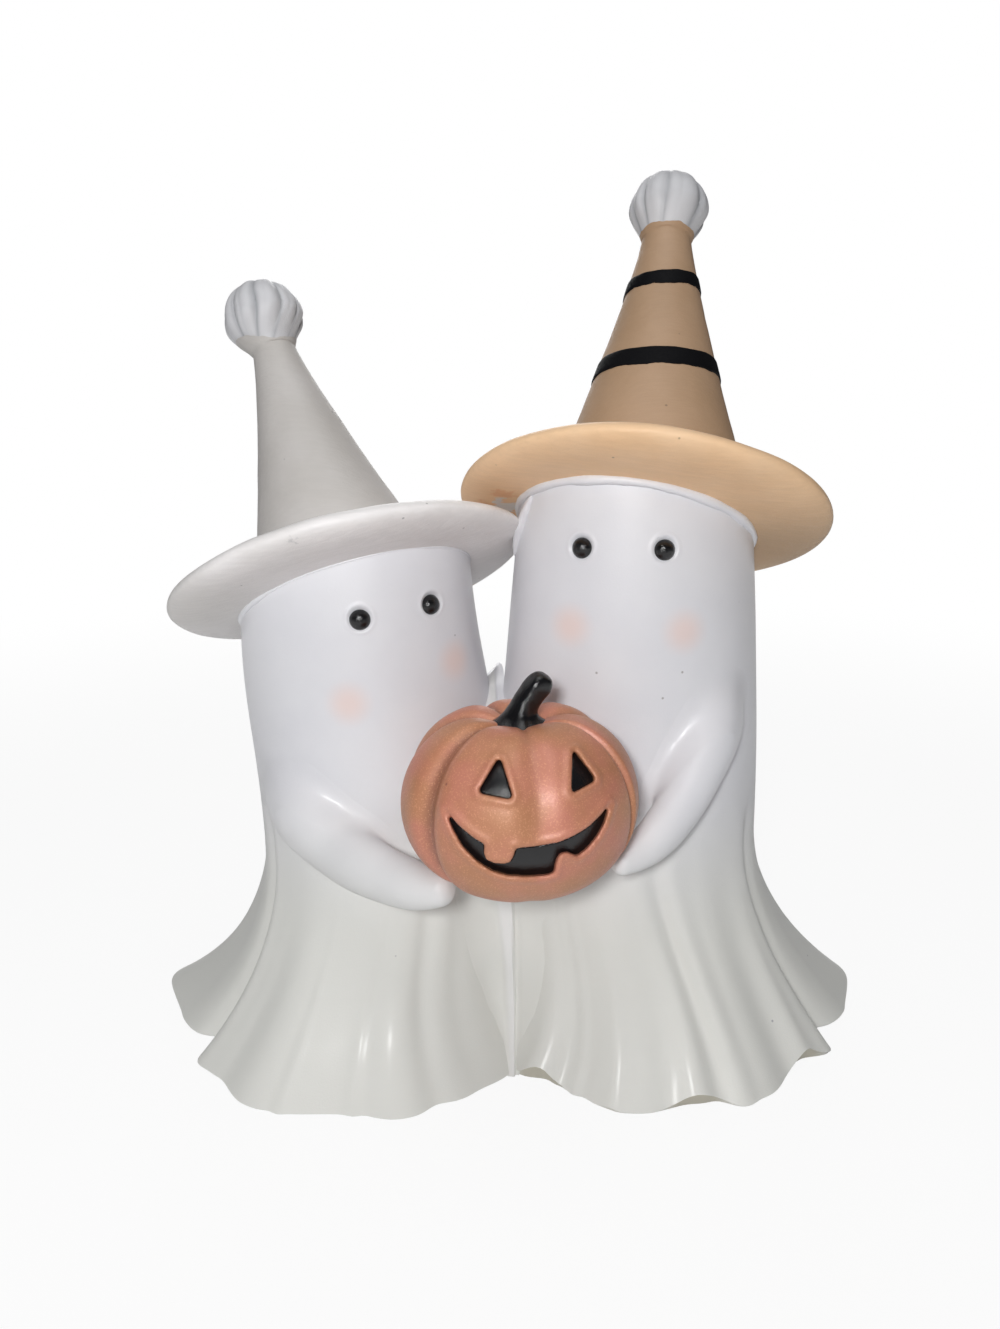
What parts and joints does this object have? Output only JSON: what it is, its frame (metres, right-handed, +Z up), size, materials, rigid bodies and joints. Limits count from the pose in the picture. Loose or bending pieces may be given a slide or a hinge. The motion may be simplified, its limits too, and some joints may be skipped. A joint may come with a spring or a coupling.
{
  "type": "ceramic ghost figure",
  "caption": "Ceramic figure of a short and a tall white ghost in pointed hats with pompoms, holding a carved pumpkin with a black stem between them.",
  "frame": {"origin": "on the table under the figure, at the foot of the seam between the two ghosts", "axes": "+Z up, +X towards the tall ghost's side, -Y the way the faces look"},
  "size_m": [0.1864, 0.1157, 0.2125],
  "materials": {
    "white_slip": "satin pearly white",
    "short_brim_paint": "matte greige, brushed",
    "short_cone_paint": "matte greige",
    "tall_brim_paint": "matte peach tan",
    "tall_cone_paint": "matte tan",
    "band_paint": "matte black",
    "pumpkin_paint": "satin copper orange with a fine shimmer",
    "black_glaze": "gloss black"
  },
  "bodies": {
    "root": {"short_body": "white_slip", "tall_body": "white_slip", "short_arm": "white_slip", "tall_arm": "white_slip", "short_eye_outer": "black_glaze", "short_eye_inner": "black_glaze", "tall_eye_outer": "black_glaze", "tall_eye_inner": "black_glaze", "short_brim": "short_brim_paint", "short_cone": "short_cone_paint", "short_pompom": "white_slip", "tall_brim": "tall_brim_paint", "tall_cone": "tall_cone_paint", "tall_band_upper": "band_paint", "tall_band_lower": "band_paint", "tall_pompom": "white_slip", "pumpkin": "pumpkin_paint", "pumpkin_eye_left": "black_glaze", "pumpkin_eye_right": "black_glaze", "pumpkin_mouth": "black_glaze", "stem": "black_glaze"}
  },
  "joints": []
}
